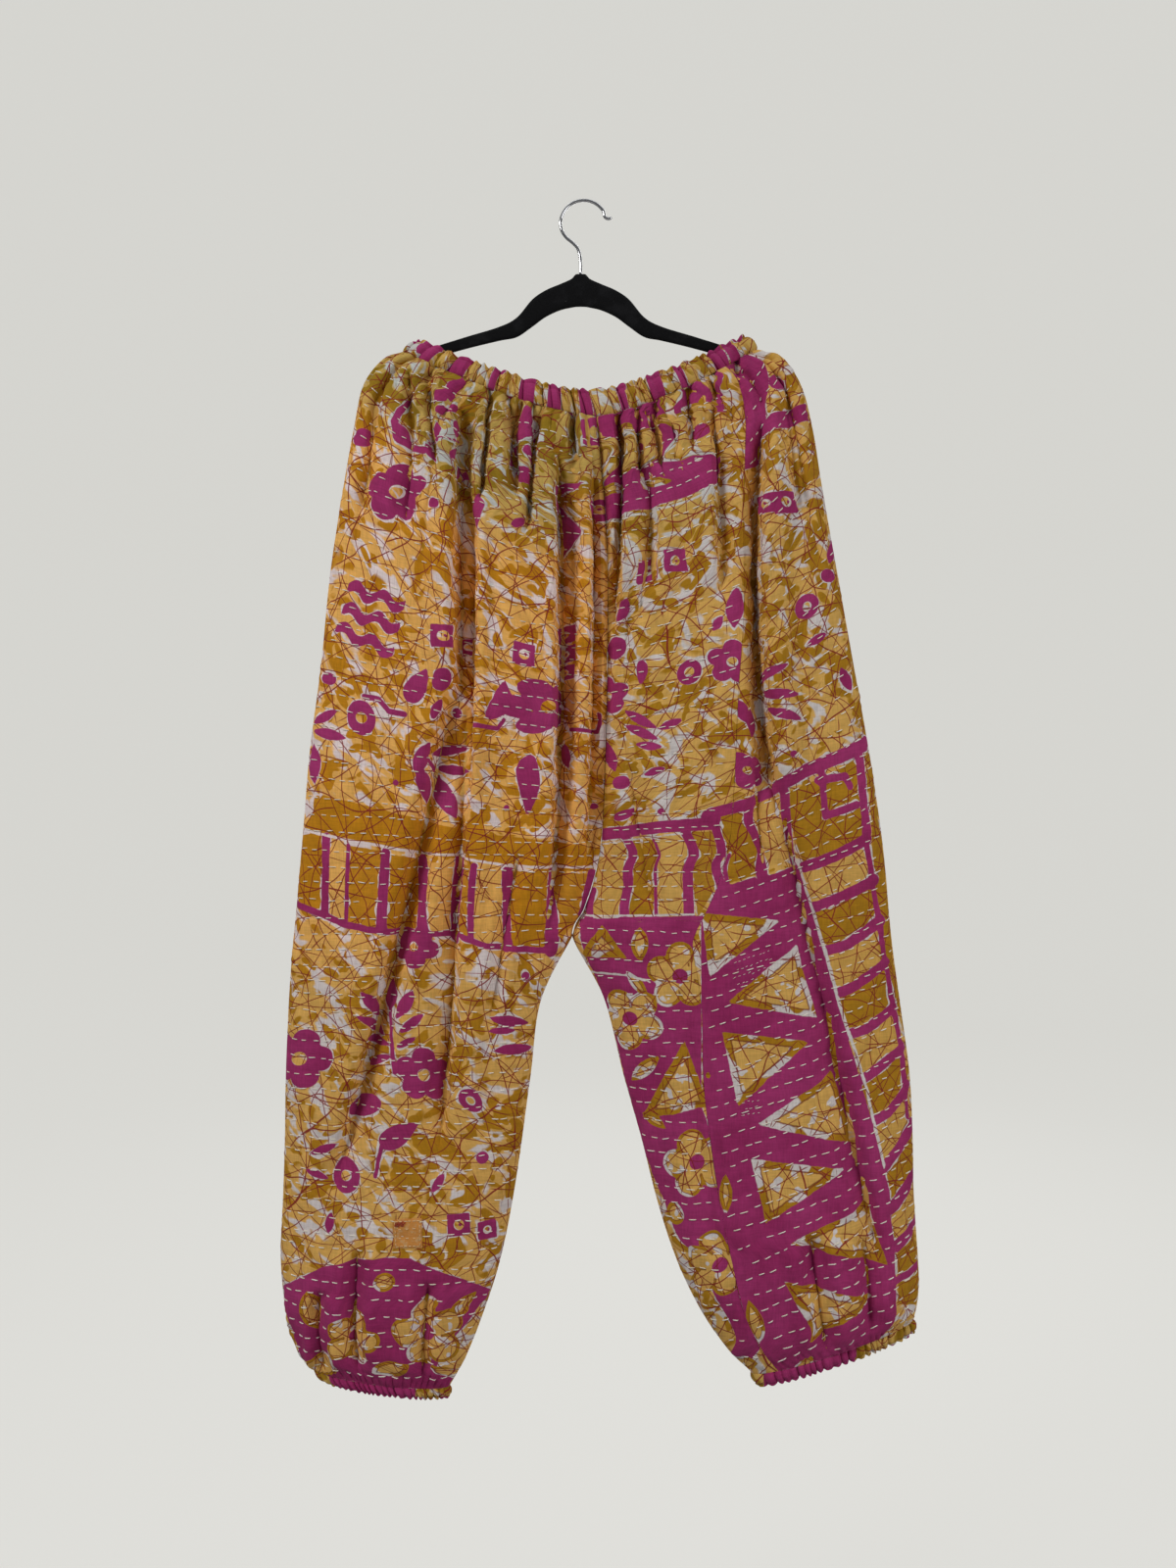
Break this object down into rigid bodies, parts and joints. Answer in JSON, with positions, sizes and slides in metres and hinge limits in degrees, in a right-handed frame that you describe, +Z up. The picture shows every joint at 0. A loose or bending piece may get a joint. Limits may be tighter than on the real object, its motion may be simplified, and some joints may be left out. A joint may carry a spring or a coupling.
{
  "type": "quilted balloon joggers on a flocked clothes hanger",
  "caption": "Wide quilted cotton joggers with a gathered waist and ankles, hung by the waist on a flat flocked clothes hanger with a wire hook",
  "frame": {"origin": "Inside top of the hook's crook, where the rail carries the hanger", "axes": "+Z up; the front of the joggers faces -Y; the wearer's left leg is at +X"},
  "size_m": [0.6184, 0.0772, 1.1602],
  "materials": {
    "printed_cotton": "two layers of soft cotton with a wax-resist print in magenta, mustard, apricot and off-white, quilted with cream running stitches",
    "patch_cotton": "plain orange cotton mend",
    "black_flock": "black velvet flocking on a moulded hanger",
    "chrome_wire": "polished wire"
  },
  "bodies": {
    "root": {"right_front": "printed_cotton", "left_front_side": "printed_cotton", "left_front_upper": "printed_cotton", "left_front_lower": "printed_cotton", "right_back": "printed_cotton", "left_back": "printed_cotton", "waist_casing_front": "printed_cotton", "waist_casing_back": "printed_cotton", "right_cuff": "printed_cotton", "left_cuff": "printed_cotton", "shin_patch": "patch_cotton", "hanger_body": "black_flock", "hanger_hook": "chrome_wire"}
  },
  "joints": []
}
